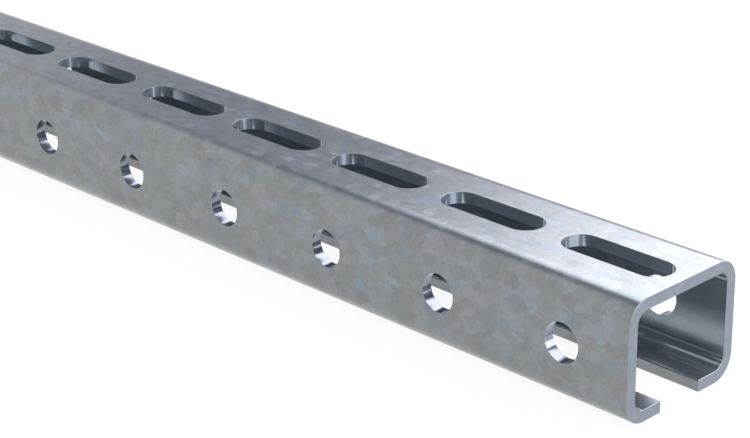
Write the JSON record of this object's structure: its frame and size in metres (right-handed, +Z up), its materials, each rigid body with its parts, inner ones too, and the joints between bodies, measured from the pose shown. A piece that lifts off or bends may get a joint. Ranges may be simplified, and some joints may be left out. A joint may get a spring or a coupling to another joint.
{
  "type": "c-channel",
  "caption": "Lipped C-channel of galvanised steel with round-ended slots along its back and round holes through both side walls.",
  "frame": {"origin": "bottom centre of the bounding box: on the plane of the lips' undersides, midway along the length and across the width", "axes": "+X along the length towards the picture's near cut end, +Y across the width away from the side wall seen in the picture, +Z up from the lips to the slotted back"},
  "size_m": [1, 0.05, 0.04],
  "materials": {
    "galvanised_steel": "satin"
  },
  "bodies": {
    "root": {"channel": "galvanised_steel"}
  },
  "joints": []
}
